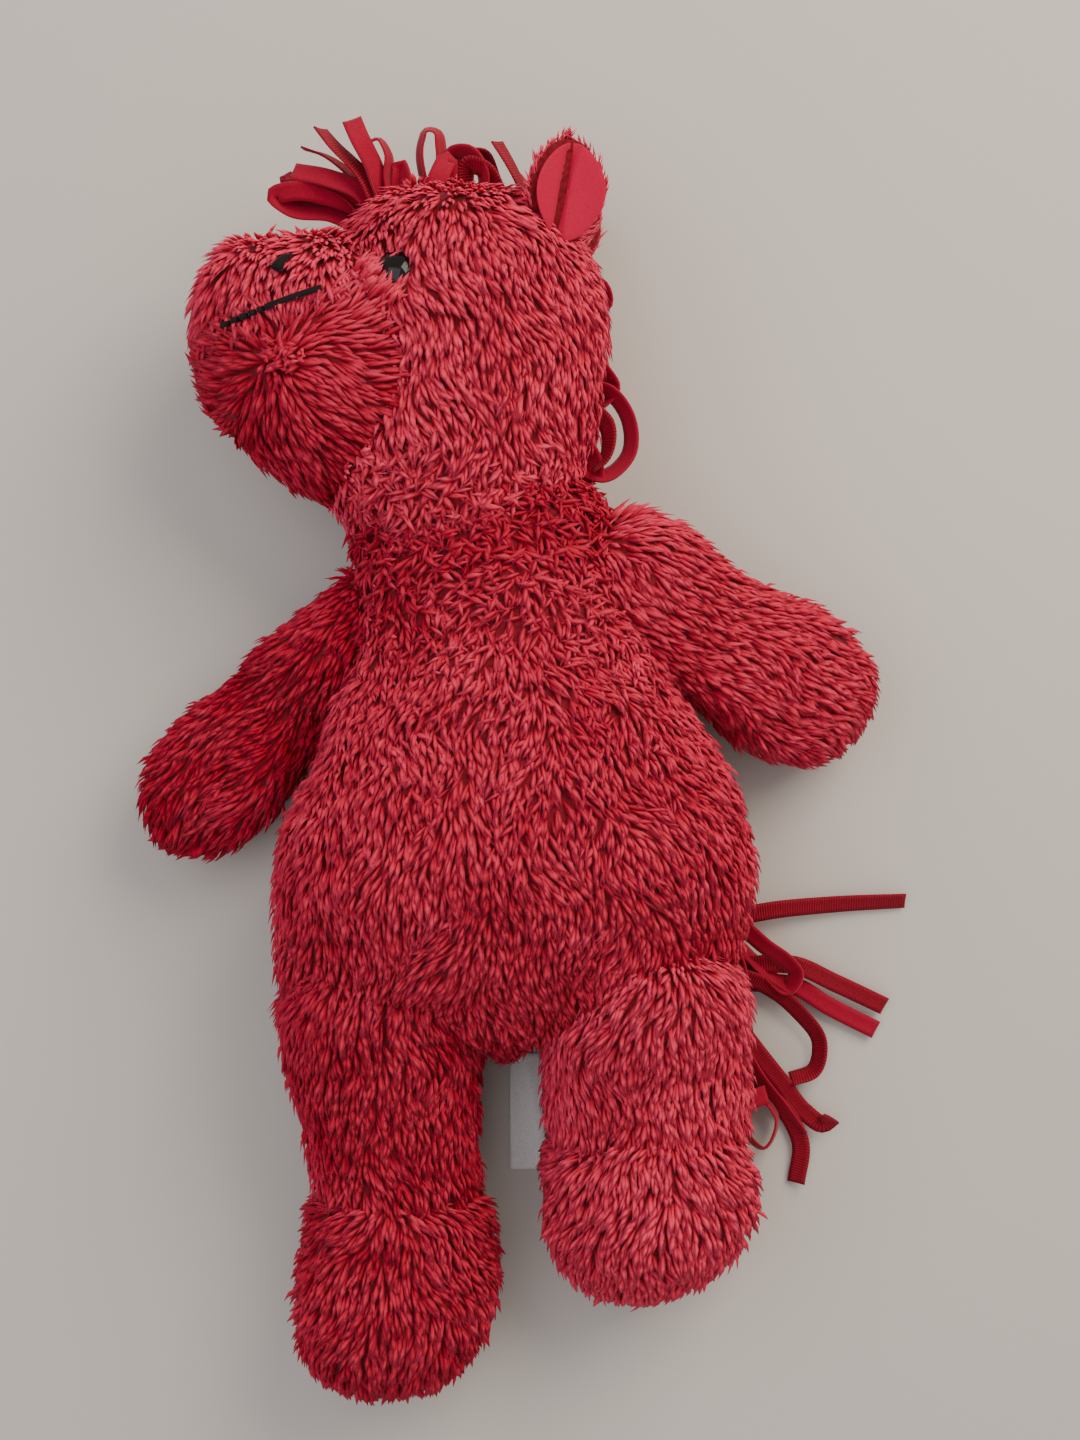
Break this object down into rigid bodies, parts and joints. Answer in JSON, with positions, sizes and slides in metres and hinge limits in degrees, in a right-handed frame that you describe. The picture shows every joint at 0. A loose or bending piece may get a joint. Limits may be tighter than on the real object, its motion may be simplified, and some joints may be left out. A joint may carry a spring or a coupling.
{
  "type": "stuffed toy pony",
  "caption": "Long-pile plush pony toy lying on its back: sewn limbs, turned head with stitched muzzle, lined ears, ribbon mane and ribbon tail.",
  "frame": {"origin": "on the flat of the back, under the belly, where the toy rests", "axes": "+Y from the seat to the head, +Z from the back to the belly, +X towards the toy's left side"},
  "size_m": [0.2646, 0.4297, 0.1039],
  "materials": {
    "long_pile_plush": "long crimson polyester pile, clumped, soft sheen",
    "fibre_filling": "loose white polyester fibre",
    "pouch_cloth": "plain woven cotton",
    "plastic_beans": "small polyethylene beads",
    "sewing_thread": "doubled polyester thread",
    "eye_plastic": "polished black",
    "washer_plastic": "moulded polypropylene",
    "black_embroidery": "satin stitched thread",
    "ear_velour": "short smooth velour",
    "suede_ribbon": "brushed on one face, ribbed on the other",
    "satin_label": "smooth white satin, blank"
  },
  "bodies": {
    "torso": {"torso_front_cover": "long_pile_plush", "torso_back_cover": "long_pile_plush", "torso_stuffing": "fibre_filling", "crotch_gusset": "long_pile_plush", "seat_bean_pouch": "pouch_cloth", "seat_beans": "plastic_beans"},
    "neck": {"neck_stitches": "sewing_thread"},
    "head": {"head_left_cover": "long_pile_plush", "head_right_cover": "long_pile_plush", "head_stuffing": "fibre_filling", "muzzle_cover": "long_pile_plush", "muzzle_stuffing": "fibre_filling", "mouth_stitching": "black_embroidery", "nostril_left": "black_embroidery", "nostril_right": "black_embroidery", "eye_left": "eye_plastic", "eye_right": "eye_plastic", "eye_left_washer": "washer_plastic", "eye_right_washer": "washer_plastic", "mane_forehead_1": "suede_ribbon", "mane_forehead_2": "suede_ribbon", "mane_forehead_3": "suede_ribbon", "mane_forehead_4": "suede_ribbon", "mane_forehead_5": "suede_ribbon", "mane_crown_1": "suede_ribbon", "mane_crown_2": "suede_ribbon", "mane_crown_3": "suede_ribbon", "mane_nape_1": "suede_ribbon", "mane_nape_2": "suede_ribbon", "mane_nape_3": "suede_ribbon"},
    "tail_root": {"tail_band": "suede_ribbon"},
    "tail": {"tail_ribbon_1": "suede_ribbon", "tail_ribbon_2": "suede_ribbon", "tail_ribbon_3": "suede_ribbon", "tail_ribbon_4": "suede_ribbon", "tail_ribbon_5": "suede_ribbon", "tail_ribbon_6": "suede_ribbon", "tail_ribbon_7": "suede_ribbon"},
    "label": {"care_label": "satin_label"},
    "ear_left": {"ear_left_back": "long_pile_plush", "ear_left_lining": "ear_velour"},
    "shoulder_left": {"shoulder_left_stitches": "sewing_thread"},
    "arm_left": {"arm_left_cover": "long_pile_plush", "arm_left_stuffing": "fibre_filling"},
    "hip_left": {"hip_left_stitches": "sewing_thread"},
    "leg_left": {"leg_left_cover": "long_pile_plush", "leg_left_stuffing": "fibre_filling", "foot_left_cover": "long_pile_plush", "foot_left_stuffing": "fibre_filling"},
    "ear_right": {"ear_right_back": "long_pile_plush", "ear_right_lining": "ear_velour"},
    "shoulder_right": {"shoulder_right_stitches": "sewing_thread"},
    "arm_right": {"arm_right_cover": "long_pile_plush", "arm_right_stuffing": "fibre_filling"},
    "hip_right": {"hip_right_stitches": "sewing_thread"},
    "leg_right": {"leg_right_cover": "long_pile_plush", "leg_right_stuffing": "fibre_filling", "foot_right_cover": "long_pile_plush", "foot_right_stuffing": "fibre_filling"}
  },
  "joints": [
    {"name": "head_turn", "type": "hinge", "parent": "torso", "child": "neck", "pos_m": [-0.012, 0.12001, 0.0468], "axis": [0, 1, 0], "range_deg": [0, 90], "stiffness_Nm_per_rad": 0.15},
    {"name": "head_nod", "type": "hinge", "parent": "neck", "child": "head", "pos_m": [-0.012, 0.12001, 0.0468], "axis": [0, 0, 1], "range_deg": [-8, 12], "stiffness_Nm_per_rad": 0.4},
    {"name": "ear_left_fold", "type": "hinge", "parent": "head", "child": "ear_left", "pos_m": [0.01866, 0.18859, 0.06898], "axis": [1, 0, 0], "range_deg": [-20, 25], "stiffness_Nm_per_rad": 0.02},
    {"name": "arm_left_lift", "type": "hinge", "parent": "torso", "child": "shoulder_left", "pos_m": [0.037, 0.07701, 0.048], "axis": [-0.5299, -0.848, 0], "range_deg": [-15, 80], "stiffness_Nm_per_rad": 0.1},
    {"name": "arm_left_swing", "type": "hinge", "parent": "shoulder_left", "child": "arm_left", "pos_m": [0.037, 0.07701, 0.048], "axis": [0, 0, 1], "range_deg": [0, 45], "stiffness_Nm_per_rad": 0.1},
    {"name": "leg_left_lift", "type": "hinge", "parent": "torso", "child": "hip_left", "pos_m": [0.0415, -0.07289, 0.0664], "axis": [-1, 0, 0], "range_deg": [0, 75], "stiffness_Nm_per_rad": 0.15},
    {"name": "leg_left_spread", "type": "hinge", "parent": "hip_left", "child": "leg_left", "pos_m": [0.0745, -0.07359, 0.033], "axis": [0, 0, 1], "range_deg": [0, 12], "stiffness_Nm_per_rad": 0.3},
    {"name": "ear_right_fold", "type": "hinge", "parent": "head", "child": "ear_right", "pos_m": [0.01866, 0.18859, 0.02462], "axis": [-1, 0, 0], "range_deg": [-20, 25], "stiffness_Nm_per_rad": 0.02},
    {"name": "arm_right_lift", "type": "hinge", "parent": "torso", "child": "shoulder_right", "pos_m": [-0.056, 0.06401, 0.042], "axis": [-0.766, 0.6428, 0], "range_deg": [-15, 80], "stiffness_Nm_per_rad": 0.1},
    {"name": "arm_right_swing", "type": "hinge", "parent": "shoulder_right", "child": "arm_right", "pos_m": [-0.056, 0.06401, 0.042], "axis": [0, 0, -1], "range_deg": [0, 60], "stiffness_Nm_per_rad": 0.1},
    {"name": "leg_right_lift", "type": "hinge", "parent": "torso", "child": "hip_right", "pos_m": [-0.0415, -0.07289, 0.0664], "axis": [-1, 0, 0], "range_deg": [0, 75], "stiffness_Nm_per_rad": 0.15},
    {"name": "leg_right_spread", "type": "hinge", "parent": "hip_right", "child": "leg_right", "pos_m": [-0.0745, -0.07359, 0.033], "axis": [0, 0, -1], "range_deg": [0, 12], "stiffness_Nm_per_rad": 0.3},
    {"name": "tail_sway", "type": "hinge", "parent": "torso", "child": "tail_root", "pos_m": [0.052, -0.06199, 0.0046], "axis": [0, 0, 1], "range_deg": [-6, 15], "stiffness_Nm_per_rad": 0.02},
    {"name": "tail_lift", "type": "hinge", "parent": "tail_root", "child": "tail", "pos_m": [0.064, -0.06199, 0.0046], "axis": [0, -1, 0], "range_deg": [0, 35], "stiffness_Nm_per_rad": 0.02},
    {"name": "label_flap", "type": "hinge", "parent": "torso", "child": "label", "pos_m": [0.0075, -0.09249, 0.0008], "axis": [-1, 0, 0], "range_deg": [0, 20], "stiffness_Nm_per_rad": 0.01}
  ]
}
